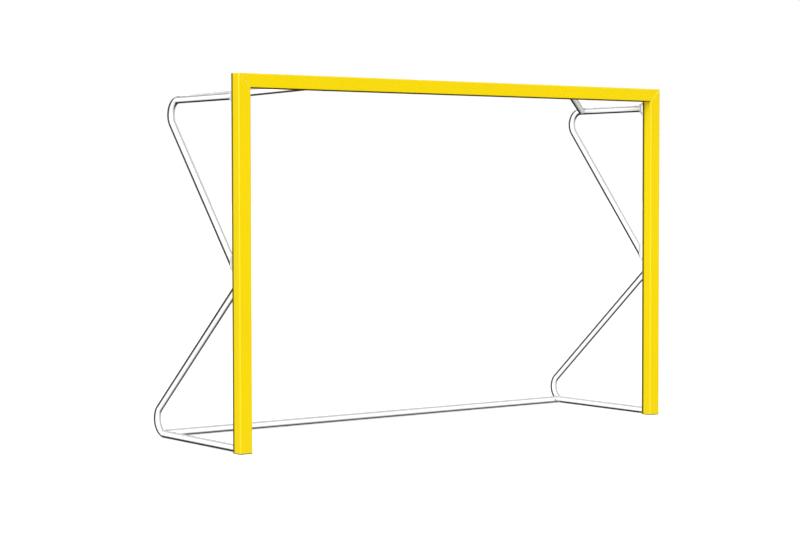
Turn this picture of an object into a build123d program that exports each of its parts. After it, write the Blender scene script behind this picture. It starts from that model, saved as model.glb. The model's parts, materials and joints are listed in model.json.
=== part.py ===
from build123d import *
import math
import os

# Portable football goal frame with a 3 m by 2 m mouth, in millimetres.
# +X runs along the crossbar, +Y towards the back and +Z up. The origin is on the ground at the
# centre of the footprint. The left side (negative X) is modelled and the right side mirrors it.

# ---- Driving dimensions ----
MOUTH_WIDTH = 3000.0  # between the posts
MOUTH_HEIGHT = 2000.0  # ground to the underside of the crossbar
PROFILE = 80.0  # square section of the posts and the crossbar
PROFILE_WALL = 3.0
PROFILE_CORNER = 8.0
BASE_DEPTH = 1000.0  # front of the posts to the back of the ground frame
TOP_DEPTH = 820.0  # front of the posts to the back of the upper hoops
TUBE_RADIUS = 21.2  # 42.4 mm round tube
TUBE_WALL = 2.6
BEND_RADIUS = 85.0  # on the centreline of the tube
ARM_DROP = 40.0  # centreline of the upper arms below the crossbar
UPPER_POST_Z = 977.0  # where the upper diagonal's centreline reaches the back of the post
LOWER_POST_Z = 917.0  # where the lower diagonal's centreline reaches the back of the post
HINGE_SETBACK = 36.0  # hinge axes of the upper hoops behind the back of the posts
GROUND_BAR_DEPTH = 915.0  # centre of the ground bar behind the front of the posts
CATCH_DEPTH = 700.0  # where the brace meets the upper arm, behind the front of the posts
BRACE_PIVOT_X = 928.0  # brace pivot from the middle of the crossbar
BRACE_PIVOT_SETBACK = 45.0  # brace pivots behind the back of the crossbar
BRACE_PIVOT_Z = 2039.0
FOLD_RATIO = 1.52  # turn of the brace for each degree that its hoop folds

# ---- Slot in the back of the profile, and pieces inside the profile ----
SLOT_MOUTH = 9.0
SLOT_LIP = 4.0
SLOT_POCKET_WIDTH = 18.0
SLOT_POCKET_DEPTH = 8.0
SLOT_BOSS_WIDTH = 26.0
SLOT_BOSS_DEPTH = 15.0
INSERT_GAP = 0.3  # between the profile's walls and the pieces that slide into it
MITRE_GAP = 0.1  # each side of the seam
CONNECTOR_REACH = 220.0  # from the outer corner to the end of each leg
CORE_ACROSS = 46.0
CORE_DEPTH = 38.0
CORE_SHIFT = -8.0  # towards the front, away from the slot
CORNER_SCREW_REACH = 203.0  # from the outer corner to the screws in each leg
CORNER_SCREW_OFFSET = 26.0  # from the middle of the profile
CORNER_SCREW_RADIUS = 3.0
CORNER_SCREW_LENGTH = 16.0
FOOT_PLATE = 4.0
FOOT_SPIGOT = 34.0
FOOT_FLOOR = 3.0

# ---- Hinges ----
BOLT_RADIUS = 6.0
BOLT_FLATS = 19.0
BOLT_HEAD = 7.5
LOCK_NUT = 10.0
BOLT_POINT = 1.5  # of a bolt beyond its nut
RUNNING_FIT = 0.06  # radial
FIXED_FIT = 0.05  # radial
EYE_RADIUS = 22.0
EYE_LENGTH = 47.0
MID_EYE_LENGTH = 80.0
MID_EYE_Z = 1045.0
BUSH_RADIUS = 10.0
BUSH_DEPTH = 15.0
BUSH_FLANGE = 1.0
BUSH_FLANGE_RADIUS = 15.0
EAR_THICKNESS = 4.0
EAR_RADIUS = 22.0
EAR_GAP = 0.25
PLATE = 6.0
PLATE_CORNER = 6.0
PLATE_HOLE_RADIUS = 4.25
POST_PLATE_WIDTH = 62.0
TOP_PLATE_LOW = 1895.0
TOP_PLATE_HIGH = 1992.0
TOP_SCREW_Z = 1912.0
MID_SCREW_OFFSET = 58.0
MID_PLATE_HALF = 70.0
LUG_WIDTH = 96.0
LUG_HALF_HEIGHT = 36.0
LUG_SCREW_OFFSET = 35.0

# ---- Ground frame ----
MID_FLANGE_HALF = 56.0
MID_FLANGE_SCREW_OFFSET = 44.0
FOOT_FLANGE_LOW = 2.0
FOOT_FLANGE_HIGH = 110.0
FOOT_SCREW_HEIGHTS = (58.0, 92.0)
SPIGOT_RADIUS = 18.5
SPIGOT_WALL = 3.0
SPIGOT_REACH = 90.0  # from the hoop's centreline
BAR_END_GAP = 3.0
BAR_BOLT_REACH = 62.0  # from the hoop's centreline
BAR_BOLT_RADIUS = 4.0
BAR_BOLT_FLATS = 13.0
BAR_BOLT_HEAD = 5.3
BAR_NUT = 8.0

# ---- Slot fasteners and net hooks ----
SCREW_RADIUS = 4.0
SCREW_LENGTH = 17.0
SCREW_HEAD_RATIO = 1.75  # head radius over shank radius
SCREW_SOCKET_RATIO = 0.6  # socket half width, and its depth, over shank radius
SCREW_HEAD_TAPER = 14.0
SLOT_NUT_ACROSS = 17.0
SLOT_NUT_ALONG = 16.0
SLOT_NUT_DEPTH = 6.0
HOOK_NECK_GAP = 0.2
HOOK_FOOT = 5.0
HOOK_ACROSS = 20.0
HOOK_ALONG = 18.0
HOOK_BASE = 3.0
HOOK_STEM = 5.0
HOOK_BAR = 4.0
HOOK_LIP = 10.0
HOOK_HEIGHT = 18.0
HOOK_ROUND = 1.2
POST_HOOK_HEIGHTS = (160.0, 320.0, 480.0, 640.0, 800.0, 1160.0, 1320.0, 1480.0, 1640.0, 1800.0)
CROSSBAR_HOOK_PITCH = 180.0
CROSSBAR_HOOK_COUNT = 16

# ---- Catch between a brace and its upper hoop ----
BRACE_TIP_GAP = 2.0  # between the end of the brace and the side of the arm
CATCH_PLATE = 5.0
CATCH_PLATE_GAP = 1.0
CATCH_PLATE_WIDTH = 40.0
CATCH_PLATE_BACK = 66.0
CATCH_PLATE_FRONT = 20.0
CATCH_SLOT = 12.0
STUD_RADIUS = 5.0
STUD_HEAD_RADIUS = 9.0
STUD_HEAD = 4.0

# ---- Places worked out from the dimensions above ----
FRONT_Y = -BASE_DEPTH / 2
BACK_FACE_Y = FRONT_Y + PROFILE
PLATE_FACE_Y = BACK_FACE_Y + PLATE
HINGE_Y = BACK_FACE_Y + HINGE_SETBACK
POST_X = (MOUTH_WIDTH + PROFILE) / 2
POST_Y = FRONT_Y + PROFILE / 2
TOP_Z = MOUTH_HEIGHT + PROFILE
CROSSBAR_Z = MOUTH_HEIGHT + PROFILE / 2
ARM_Z = MOUTH_HEIGHT - ARM_DROP
CORNER_X = -POST_X - PROFILE / 2
HOOP_PLANE = Plane(origin=(-POST_X, 0, 0), x_dir=(0, 1, 0), z_dir=(1, 0, 0))
BACK_PLANE = Plane(origin=(0, BACK_FACE_Y, 0), x_dir=(-1, 0, 0), z_dir=(0, 1, 0))
CATCH = Vector(-POST_X, FRONT_Y + CATCH_DEPTH, ARM_Z)
BRACE_PIVOT = Vector(-BRACE_PIVOT_X, BACK_FACE_Y + BRACE_PIVOT_SETBACK, BRACE_PIVOT_Z)
BRACE_AXIS = Plane(origin=BRACE_PIVOT, z_dir=CATCH - BRACE_PIVOT)
BRACE_LENGTH = (CATCH - BRACE_PIVOT).length
CATCH_PLATE_Z = ARM_Z + TUBE_RADIUS + CATCH_PLATE_GAP
STUD_HEAD_Z = CATCH_PLATE_Z + CATCH_PLATE + CATCH_PLATE_GAP
CORNER_SCREWS = [
    (-POST_X - CORNER_SCREW_OFFSET, TOP_Z - CORNER_SCREW_REACH),
    (-POST_X + CORNER_SCREW_OFFSET, TOP_Z - CORNER_SCREW_REACH),
    (CORNER_X + CORNER_SCREW_REACH, CROSSBAR_Z - CORNER_SCREW_OFFSET),
    (CORNER_X + CORNER_SCREW_REACH, CROSSBAR_Z + CORNER_SCREW_OFFSET),
]


def diagonal(arm_z, back_y, post_z, turn):
    """Slope of a hoop's diagonal, and the y of the corner where it would cross the arm's line.

    The diagonal runs from the back of the post at post_z and touches the bend's circle, whose
    centre is below the arm when turn is -1 and above it when turn is 1.
    """
    centre_y = back_y - TUBE_RADIUS - BEND_RADIUS
    centre_z = arm_z + turn * BEND_RADIUS
    distance = math.hypot(centre_y - BACK_FACE_Y, centre_z - post_z)
    angle = math.atan2(centre_z - post_z, centre_y - BACK_FACE_Y)
    slope = math.tan(angle + turn * math.asin(BEND_RADIUS / distance))
    return slope, BACK_FACE_Y + (arm_z - post_z) / slope


UPPER_SLOPE, UPPER_CORNER_Y = diagonal(ARM_Z, FRONT_Y + TOP_DEPTH, UPPER_POST_Z, -1)
LOWER_SLOPE, LOWER_CORNER_Y = diagonal(TUBE_RADIUS, FRONT_Y + BASE_DEPTH, LOWER_POST_Z, 1)
UPPER_HINGE_Z = UPPER_POST_Z + UPPER_SLOPE * HINGE_SETBACK
MID_FLANGE_Z = LOWER_POST_Z + LOWER_SLOPE * PLATE
GROUND_BAR_Y = FRONT_Y + GROUND_BAR_DEPTH
BEND_START = GROUND_BAR_DEPTH - (BASE_DEPTH - TUBE_RADIUS - BEND_RADIUS)
GROUND_BAR_Z = TUBE_RADIUS + BEND_RADIUS - math.sqrt(BEND_RADIUS**2 - BEND_START**2)
POST_SCREW_HEIGHTS = (
    ARM_Z,
    TOP_SCREW_Z,
    MID_EYE_Z + MID_SCREW_OFFSET,
    MID_EYE_Z - MID_SCREW_OFFSET,
    MID_FLANGE_Z + MID_FLANGE_SCREW_OFFSET,
    MID_FLANGE_Z - MID_FLANGE_SCREW_OFFSET,
    *FOOT_SCREW_HEIGHTS,
)
LUG_SCREWS = (-BRACE_PIVOT_X - LUG_SCREW_OFFSET, -BRACE_PIVOT_X + LUG_SCREW_OFFSET)

os.makedirs("parts", exist_ok=True)


def write(piece, name):
    """Labels a finished piece and writes it as a STEP file."""
    piece.part.label = name
    export_step(piece.part, f"parts/{name}.step")


def write_pair(piece, name):
    """Writes a left-hand piece and its mirror image on the right."""
    write(piece, f"left_{name}")
    with BuildPart() as other:
        mirror(piece.part, about=Plane.YZ)
    write(other, f"right_{name}")


# ---- Planes on the profile ----
def across_bar(x):
    """Section plane of the crossbar at x, facing +X, with local +Y towards the back."""
    return Plane(origin=(x, POST_Y, CROSSBAR_Z), x_dir=(0, 0, -1), z_dir=(1, 0, 0))


def post_back(z, lift=0):
    """Plane behind the left post at height z, facing backwards, with local Y along the post."""
    return Plane(origin=(-POST_X, BACK_FACE_Y + lift, z), x_dir=(-1, 0, 0), z_dir=(0, 1, 0))


def bar_back(x, lift=0):
    """Plane behind the crossbar at x, facing backwards, with local Y along the crossbar."""
    return Plane(origin=(x, BACK_FACE_Y + lift, CROSSBAR_Z), x_dir=(0, 0, 1), z_dir=(0, 1, 0))


# ---- Sections ----
def slot_rectangle(width, top, depth, mode):
    """Rectangle that starts at a given depth under the profile's back face."""
    with Locations((0, PROFILE / 2 - top - depth / 2)):
        Rectangle(width, depth, mode=mode)


def profile_section():
    """Section of the extruded profile: a hollow square with a T slot in the back."""
    inside = PROFILE - 2 * PROFILE_WALL
    RectangleRounded(PROFILE, PROFILE, PROFILE_CORNER)
    RectangleRounded(inside, inside, PROFILE_CORNER - PROFILE_WALL, mode=Mode.SUBTRACT)
    slot_rectangle(SLOT_BOSS_WIDTH, 0, SLOT_BOSS_DEPTH, Mode.ADD)
    slot_rectangle(SLOT_MOUTH, 0, SLOT_LIP, Mode.SUBTRACT)
    slot_rectangle(SLOT_POCKET_WIDTH, SLOT_LIP, SLOT_POCKET_DEPTH, Mode.SUBTRACT)


def insert_section():
    """Section of a piece that slides into the profile's hollow, with a channel for the slot."""
    inside = PROFILE - 2 * PROFILE_WALL - 2 * INSERT_GAP
    channel = SLOT_BOSS_WIDTH + 2 * INSERT_GAP
    RectangleRounded(inside, inside, PROFILE_CORNER - PROFILE_WALL)
    slot_rectangle(channel, 0, SLOT_BOSS_DEPTH + INSERT_GAP, Mode.SUBTRACT)


def core_section(mode):
    """Hollow inside a corner connector or a foot plug."""
    with Locations((0, CORE_SHIFT)):
        RectangleRounded(CORE_ACROSS, CORE_DEPTH, PLATE_CORNER, mode=mode)


def ring_section(radius, wall):
    """Section of a round tube."""
    Circle(radius)
    Circle(radius - wall, mode=Mode.SUBTRACT)


def upper_centreline():
    """Centreline of an upper hoop, from hinge axis to hinge axis."""
    FilletPolyline(
        (HINGE_Y, ARM_Z), (UPPER_CORNER_Y, ARM_Z), (HINGE_Y, UPPER_HINGE_Z), radius=BEND_RADIUS
    )


def lower_centreline():
    """Centreline of a lower hoop, which runs on past the back of the post at both ends."""
    start_y = BACK_FACE_Y - 2 * TUBE_RADIUS
    start_z = LOWER_POST_Z - LOWER_SLOPE * 2 * TUBE_RADIUS
    FilletPolyline(
        (start_y, start_z),
        (LOWER_CORNER_Y, TUBE_RADIUS),
        (start_y, TUBE_RADIUS),
        radius=BEND_RADIUS,
    )


# ---- Fasteners ----
def hex_bolt(seat, radius, length, flats, head):
    """Hexagon bolt whose seat plane lies under the head and faces out through it."""
    with BuildSketch(seat) as section:
        RegularPolygon(flats / 2, 6, major_radius=False)
    extrude(section.sketch, amount=head)
    with BuildSketch(seat) as section:
        Circle(radius)
    extrude(section.sketch, amount=-length)


def hex_nut(seat, radius, flats, height):
    """Hexagon nut that stands on its seat plane."""
    with BuildSketch(seat) as section:
        RegularPolygon(flats / 2, 6, major_radius=False)
        Circle(radius + FIXED_FIT, mode=Mode.SUBTRACT)
    extrude(section.sketch, amount=height)


def button_screw(seat, radius, length):
    """Button-head screw with a hexagon socket, whose seat plane lies under the head."""
    socket = radius * SCREW_SOCKET_RATIO
    with BuildSketch(seat) as section:
        Circle(radius * SCREW_HEAD_RATIO)
    extrude(section.sketch, amount=radius, taper=SCREW_HEAD_TAPER)
    with BuildSketch(seat) as section:
        Circle(radius)
    extrude(section.sketch, amount=-length)
    with BuildSketch(seat.offset(radius)) as section:
        RegularPolygon(socket, 6, major_radius=False)
    extrude(section.sketch, amount=-socket, mode=Mode.SUBTRACT)


def slot_nut(seat):
    """Rectangular nut against the slot's lip, behind a plate's screw."""
    with BuildSketch(seat.offset(-SLOT_LIP - FIXED_FIT)) as section:
        Rectangle(SLOT_NUT_ACROSS, SLOT_NUT_ALONG)
        Circle(SCREW_RADIUS + FIXED_FIT, mode=Mode.SUBTRACT)
    extrude(section.sketch, amount=-SLOT_NUT_DEPTH)


def corner_screw_holes(sides):
    """Clearance holes for the corner screws through the back of a piece, on the given sides."""
    with BuildSketch(BACK_PLANE) as section:
        for side in sides:
            with Locations(*[(-side * x, z) for x, z in CORNER_SCREWS]):
                Circle(CORNER_SCREW_RADIUS + FIXED_FIT)
    extrude(section.sketch, amount=-PROFILE / 4, mode=Mode.SUBTRACT)


def net_hook(seat):
    """Plastic net hook: its foot slides in the slot and its hook stands behind the profile."""
    with BuildSketch(seat.offset(-SLOT_LIP - FIXED_FIT)) as section:
        Rectangle(SLOT_NUT_ACROSS, HOOK_ALONG)
    extrude(section.sketch, amount=-HOOK_FOOT)
    with BuildSketch(seat.offset(-SLOT_LIP - HOOK_FOOT)) as section:
        Rectangle(SLOT_MOUTH - 2 * HOOK_NECK_GAP, HOOK_ALONG)
    extrude(section.sketch, amount=SLOT_LIP + HOOK_FOOT)
    with BuildSketch(seat) as section:
        RectangleRounded(HOOK_ACROSS, HOOK_ALONG, HOOK_BASE)
    extrude(section.sketch, amount=HOOK_BASE)
    # In the side view, local X runs along the slot and local Y away from the profile.
    end = HOOK_ALONG / 2 - 1
    with BuildSketch(Plane(origin=seat.origin, x_dir=seat.y_dir, z_dir=seat.x_dir)) as outline:
        with Locations((HOOK_STEM / 2 - end, HOOK_HEIGHT / 2)):
            Rectangle(HOOK_STEM, HOOK_HEIGHT)
        with Locations((0, HOOK_HEIGHT - HOOK_BAR / 2)):
            Rectangle(2 * end, HOOK_BAR)
        with Locations((end - HOOK_BAR / 2, HOOK_HEIGHT - HOOK_LIP / 2)):
            Rectangle(HOOK_BAR, HOOK_LIP)
        fillet(outline.vertices(), HOOK_ROUND)
    extrude(outline.sketch, amount=HOOK_STEM / 2, both=True)


# ---- Hinge pieces, each round an eye with a given centre and length ----
def ear_top(eye_length):
    """Outer face of a bracket's ear, measured from the middle of the eye."""
    return eye_length / 2 + BUSH_FLANGE + EAR_GAP + EAR_THICKNESS


def hinge_eye(centre, eye_length):
    """Short vertical tube that turns on a hinge bolt."""
    with Locations(centre):
        Cylinder(EYE_RADIUS, eye_length)
        Cylinder(BUSH_RADIUS, eye_length, mode=Mode.SUBTRACT)


def flanged_bushes(centre, eye_length):
    """Flanged plastic bushes, one pressed into each end of an eye and bored for the bolt."""
    for side in (1, -1):
        with Locations(centre + Vector(0, 0, side * (eye_length + BUSH_FLANGE) / 2)):
            Cylinder(BUSH_FLANGE_RADIUS, BUSH_FLANGE)
        with Locations(centre + Vector(0, 0, side * (eye_length - BUSH_DEPTH) / 2)):
            Cylinder(BUSH_RADIUS, BUSH_DEPTH)
    with Locations(centre):
        Cylinder(BOLT_RADIUS + RUNNING_FIT, 2 * eye_length, mode=Mode.SUBTRACT)


def back_plate(x, low, high, width, screws):
    """Plate on the back of the profile, with a clearance hole at each screw (x, z)."""
    with BuildSketch(BACK_PLANE) as section:
        with Locations((-x, (low + high) / 2)):
            RectangleRounded(width, high - low, PLATE_CORNER)
        with Locations(*[(-screw_x, screw_z) for screw_x, screw_z in screws]):
            Circle(PLATE_HOLE_RADIUS, mode=Mode.SUBTRACT)
    extrude(section.sketch, amount=PLATE)


def bracket_ears(centre, eye_length):
    """Two ears above and below an eye, standing out from the plate's face."""
    reach = centre.Y - PLATE_FACE_Y
    for rise in (ear_top(eye_length) - EAR_THICKNESS, -ear_top(eye_length)):
        with BuildSketch(Plane.XY.offset(centre.Z + rise)) as section:
            with Locations((centre.X, centre.Y - reach / 2)):
                Rectangle(2 * EAR_RADIUS, reach)
            with Locations((centre.X, centre.Y)):
                Circle(EAR_RADIUS)
                Circle(BOLT_RADIUS + FIXED_FIT, mode=Mode.SUBTRACT)
        extrude(section.sketch, amount=EAR_THICKNESS)


def hinge_bolt(centre, eye_length, up):
    """Bolt through a bracket's ears and an eye, with its head above them when up is 1."""
    seat = Plane(origin=centre + Vector(0, 0, up * ear_top(eye_length)), z_dir=(0, 0, up))
    length = 2 * ear_top(eye_length) + LOCK_NUT + BOLT_POINT
    hex_bolt(seat, BOLT_RADIUS, length, BOLT_FLATS, BOLT_HEAD)


def hinge_nut(centre, eye_length, up):
    """Lock nut at the other end of a hinge bolt, below the ears when up is 1."""
    seat = Plane(origin=centre - Vector(0, 0, up * ear_top(eye_length)), z_dir=(0, 0, -up))
    hex_nut(seat, BOLT_RADIUS, BOLT_FLATS, LOCK_NUT)


HOOP_EYES = (
    (Vector(-POST_X, HINGE_Y, ARM_Z), EYE_LENGTH),
    (Vector(-POST_X, HINGE_Y, MID_EYE_Z), MID_EYE_LENGTH),
)
BRACE_EYE = (BRACE_PIVOT, EYE_LENGTH)

# ---- Front frame ----
with BuildPart() as post:
    with BuildSketch(Plane(origin=(-POST_X, POST_Y, FOOT_PLATE))):
        profile_section()
    extrude(amount=TOP_Z - FOOT_PLATE)
    corner_screw_holes((1,))
    mitre = Plane(origin=(CORNER_X, POST_Y, TOP_Z - MITRE_GAP), z_dir=(-1, 0, -1))
    split(bisect_by=mitre, keep=Keep.TOP)
write_pair(post, "post")

with BuildPart() as crossbar:
    with BuildSketch(across_bar(CORNER_X)):
        profile_section()
    extrude(amount=-2 * CORNER_X)
    corner_screw_holes((1, -1))
    for side in (1, -1):
        mitre = Plane(origin=(side * (CORNER_X + MITRE_GAP), POST_Y, TOP_Z), z_dir=(side, 0, 1))
        split(bisect_by=mitre, keep=Keep.TOP)
write(crossbar, "crossbar")

with BuildPart() as corner_connector:
    with BuildSketch(Plane(origin=(-POST_X, POST_Y, TOP_Z - CONNECTOR_REACH))):
        insert_section()
        core_section(Mode.SUBTRACT)
    extrude(amount=CONNECTOR_REACH)
    corner = Plane(origin=(CORNER_X, POST_Y, TOP_Z), z_dir=(-1, 0, -1))
    split(bisect_by=corner, keep=Keep.TOP)
    mirror(about=corner)
    corner_screw_holes((1,))
write_pair(corner_connector, "corner_connector")

with BuildPart() as corner_screws:
    for screw_x, screw_z in CORNER_SCREWS:
        seat = Plane(origin=(screw_x, BACK_FACE_Y, screw_z), z_dir=(0, 1, 0))
        button_screw(seat, CORNER_SCREW_RADIUS, CORNER_SCREW_LENGTH)
write_pair(corner_screws, "corner_screws")

with BuildPart() as foot_plug:
    with BuildSketch(Plane(origin=(-POST_X, POST_Y, 0))):
        RectangleRounded(PROFILE, PROFILE, PROFILE_CORNER)
    extrude(amount=FOOT_PLATE)
    with BuildSketch(Plane(origin=(-POST_X, POST_Y, FOOT_PLATE))):
        insert_section()
    extrude(amount=FOOT_SPIGOT)
    with BuildSketch(Plane(origin=(-POST_X, POST_Y, FOOT_PLATE + FOOT_SPIGOT))):
        core_section(Mode.ADD)
    extrude(amount=FOOT_FLOOR - FOOT_SPIGOT, mode=Mode.SUBTRACT)
write_pair(foot_plug, "foot_plug")

# ---- Upper hoops, which fold inwards ----
with BuildPart() as upper_hoop:
    with BuildLine(HOOP_PLANE) as centreline:
        upper_centreline()
    with BuildSketch(Plane(origin=centreline.line @ 0, z_dir=centreline.line % 0)):
        ring_section(TUBE_RADIUS, TUBE_WALL)
    sweep()
    for centre, length in HOOP_EYES:
        with Locations(centre):
            Cylinder(EYE_RADIUS, length, mode=Mode.SUBTRACT)
write_pair(upper_hoop, "upper_hoop")

with BuildPart() as hoop_eyes:
    for eye in HOOP_EYES:
        hinge_eye(*eye)
write_pair(hoop_eyes, "hoop_eyes")

with BuildPart() as hoop_bushes:
    for eye in HOOP_EYES:
        flanged_bushes(*eye)
write_pair(hoop_bushes, "hoop_bushes")

with BuildPart() as catch_stud:
    with BuildSketch(Plane(origin=CATCH)):
        Circle(STUD_RADIUS)
    extrude(amount=STUD_HEAD_Z - ARM_Z)
    with BuildSketch(Plane(origin=(CATCH.X, CATCH.Y, STUD_HEAD_Z))):
        Circle(STUD_HEAD_RADIUS)
    extrude(amount=STUD_HEAD)
    with BuildSketch(Plane(origin=CATCH, z_dir=(0, 1, 0))):
        Circle(TUBE_RADIUS)
    extrude(amount=2 * STUD_RADIUS, both=True, mode=Mode.SUBTRACT)
write_pair(catch_stud, "catch_stud")

with BuildPart() as top_hinge_bracket:
    screws = [(-POST_X, ARM_Z), (-POST_X, TOP_SCREW_Z)]
    back_plate(-POST_X, TOP_PLATE_LOW, TOP_PLATE_HIGH, POST_PLATE_WIDTH, screws)
    bracket_ears(*HOOP_EYES[0])
write_pair(top_hinge_bracket, "top_hinge_bracket")

with BuildPart() as mid_hinge_bracket:
    screws = [(-POST_X, MID_EYE_Z + side * MID_SCREW_OFFSET) for side in (1, -1)]
    low = MID_EYE_Z - MID_PLATE_HALF
    back_plate(-POST_X, low, MID_EYE_Z + MID_PLATE_HALF, POST_PLATE_WIDTH, screws)
    bracket_ears(*HOOP_EYES[1])
write_pair(mid_hinge_bracket, "mid_hinge_bracket")

with BuildPart() as hinge_bolts:
    for eye in HOOP_EYES:
        hinge_bolt(*eye, 1)
write_pair(hinge_bolts, "hinge_bolts")

with BuildPart() as hinge_nuts:
    for eye in HOOP_EYES:
        hinge_nut(*eye, 1)
write_pair(hinge_nuts, "hinge_nuts")

# ---- Ground frame ----
with BuildPart() as lower_hoop:
    with BuildLine(HOOP_PLANE) as centreline:
        lower_centreline()
    with BuildSketch(Plane(origin=centreline.line @ 0, z_dir=centreline.line % 0)):
        ring_section(TUBE_RADIUS, TUBE_WALL)
    sweep()
    split(bisect_by=Plane(origin=(0, PLATE_FACE_Y, 0), z_dir=(0, 1, 0)), keep=Keep.TOP)
write_pair(lower_hoop, "lower_hoop")

with BuildPart() as mid_flange:
    screws = [(-POST_X, MID_FLANGE_Z + side * MID_FLANGE_SCREW_OFFSET) for side in (1, -1)]
    low = MID_FLANGE_Z - MID_FLANGE_HALF
    back_plate(-POST_X, low, MID_FLANGE_Z + MID_FLANGE_HALF, POST_PLATE_WIDTH, screws)
write_pair(mid_flange, "mid_flange")

with BuildPart() as foot_flange:
    screws = [(-POST_X, height) for height in FOOT_SCREW_HEIGHTS]
    back_plate(-POST_X, FOOT_FLANGE_LOW, FOOT_FLANGE_HIGH, POST_PLATE_WIDTH, screws)
write_pair(foot_flange, "foot_flange")

bar_bolt_x = POST_X - BAR_BOLT_REACH
bar_bolt_planes = [
    Plane(origin=(side * bar_bolt_x, GROUND_BAR_Y + TUBE_RADIUS, GROUND_BAR_Z), z_dir=(0, 1, 0))
    for side in (1, -1)
]


def bar_bolt_holes():
    """Holes for the bolts through the ground bar and its spigots."""
    for seat in bar_bolt_planes:
        with BuildSketch(seat) as section:
            Circle(BAR_BOLT_RADIUS + FIXED_FIT)
        extrude(section.sketch, amount=-2 * TUBE_RADIUS, mode=Mode.SUBTRACT)


with BuildPart() as ground_bar:
    bar_start = POST_X - TUBE_RADIUS - BAR_END_GAP
    with BuildSketch(Plane(origin=(-bar_start, GROUND_BAR_Y, GROUND_BAR_Z), z_dir=(1, 0, 0))):
        ring_section(TUBE_RADIUS, TUBE_WALL)
    extrude(amount=2 * bar_start)
    bar_bolt_holes()
write(ground_bar, "ground_bar")

with BuildPart() as bar_spigot:
    with BuildSketch(Plane(origin=(-POST_X, GROUND_BAR_Y, GROUND_BAR_Z), z_dir=(1, 0, 0))):
        ring_section(SPIGOT_RADIUS, SPIGOT_WALL)
    extrude(amount=SPIGOT_REACH)
    bar_bolt_holes()
    with BuildLine(HOOP_PLANE) as centreline:
        lower_centreline()
    with BuildSketch(Plane(origin=centreline.line @ 0, z_dir=centreline.line % 0)):
        Circle(TUBE_RADIUS)
    sweep(mode=Mode.SUBTRACT)
write_pair(bar_spigot, "bar_spigot")

with BuildPart() as ground_bar_bolts:
    length = 2 * TUBE_RADIUS + BAR_NUT + BOLT_POINT
    for seat in bar_bolt_planes:
        hex_bolt(seat, BAR_BOLT_RADIUS, length, BAR_BOLT_FLATS, BAR_BOLT_HEAD)
write(ground_bar_bolts, "ground_bar_bolts")

with BuildPart() as ground_bar_nuts:
    for seat in bar_bolt_planes:
        nut_seat = seat.offset(-2 * TUBE_RADIUS - BAR_NUT)
        hex_nut(nut_seat, BAR_BOLT_RADIUS, BAR_BOLT_FLATS, BAR_NUT)
write(ground_bar_nuts, "ground_bar_nuts")

# ---- Braces, which swing inwards with the hoops ----
with BuildPart() as brace:
    with BuildSketch(BRACE_AXIS):
        ring_section(TUBE_RADIUS, TUBE_WALL)
    extrude(amount=BRACE_LENGTH + 2 * TUBE_RADIUS)
    tip = Plane(origin=(-POST_X + TUBE_RADIUS + BRACE_TIP_GAP, 0, 0), z_dir=(1, 0, 0))
    split(bisect_by=tip, keep=Keep.TOP)
    with Locations(BRACE_PIVOT):
        Cylinder(EYE_RADIUS, EYE_LENGTH, mode=Mode.SUBTRACT)
write_pair(brace, "brace")

with BuildPart() as brace_eye:
    hinge_eye(*BRACE_EYE)
write_pair(brace_eye, "brace_eye")

with BuildPart() as brace_bushes:
    flanged_bushes(*BRACE_EYE)
write_pair(brace_bushes, "brace_bushes")

with BuildPart() as brace_catch:
    # Local X runs along the brace towards the stud, which stands at the plane's origin.
    brace_arm = CATCH - BRACE_PIVOT
    hoop_arm_y = CATCH.Y - HINGE_Y
    stud_path = Vector(hoop_arm_y - FOLD_RATIO * brace_arm.Y, FOLD_RATIO * brace_arm.X)
    brace_angle = math.degrees(math.atan2(brace_arm.Y, brace_arm.X))
    slot_angle = math.degrees(math.atan2(stud_path.Y, stud_path.X)) - brace_angle
    catch_plane = Plane(
        origin=(CATCH.X, CATCH.Y, CATCH_PLATE_Z), x_dir=(brace_arm.X, brace_arm.Y, 0)
    )
    with BuildSketch(catch_plane):
        with Locations(((CATCH_PLATE_FRONT - CATCH_PLATE_BACK) / 2, 0)):
            RectangleRounded(
                CATCH_PLATE_FRONT + CATCH_PLATE_BACK, CATCH_PLATE_WIDTH, PLATE_CORNER
            )
        Circle(CATCH_SLOT / 2, mode=Mode.SUBTRACT)
        with PolarLocations(CATCH_PLATE_WIDTH / 2, 1, start_angle=slot_angle):
            Rectangle(CATCH_PLATE_WIDTH, CATCH_SLOT, mode=Mode.SUBTRACT)
    extrude(amount=CATCH_PLATE)
    with BuildSketch(BRACE_AXIS):
        Circle(TUBE_RADIUS)
    extrude(amount=BRACE_LENGTH, mode=Mode.SUBTRACT)
write_pair(brace_catch, "brace_catch")

with BuildPart() as brace_lug:
    screws = [(x, CROSSBAR_Z) for x in LUG_SCREWS]
    low = CROSSBAR_Z - LUG_HALF_HEIGHT
    back_plate(-BRACE_PIVOT_X, low, CROSSBAR_Z + LUG_HALF_HEIGHT, LUG_WIDTH, screws)
    bracket_ears(*BRACE_EYE)
write_pair(brace_lug, "brace_lug")

with BuildPart() as brace_pivot_bolt:
    hinge_bolt(*BRACE_EYE, -1)
write_pair(brace_pivot_bolt, "brace_pivot_bolt")

with BuildPart() as brace_pivot_nut:
    hinge_nut(*BRACE_EYE, -1)
write_pair(brace_pivot_nut, "brace_pivot_nut")

# ---- Screws and nuts in the slots ----
with BuildPart() as post_screws:
    for height in POST_SCREW_HEIGHTS:
        button_screw(post_back(height, PLATE), SCREW_RADIUS, SCREW_LENGTH)
write_pair(post_screws, "post_screws")

with BuildPart() as post_slot_nuts:
    for height in POST_SCREW_HEIGHTS:
        slot_nut(post_back(height))
write_pair(post_slot_nuts, "post_slot_nuts")

with BuildPart() as crossbar_screws:
    for x in LUG_SCREWS:
        for side in (1, -1):
            button_screw(bar_back(side * x, PLATE), SCREW_RADIUS, SCREW_LENGTH)
write(crossbar_screws, "crossbar_screws")

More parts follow.
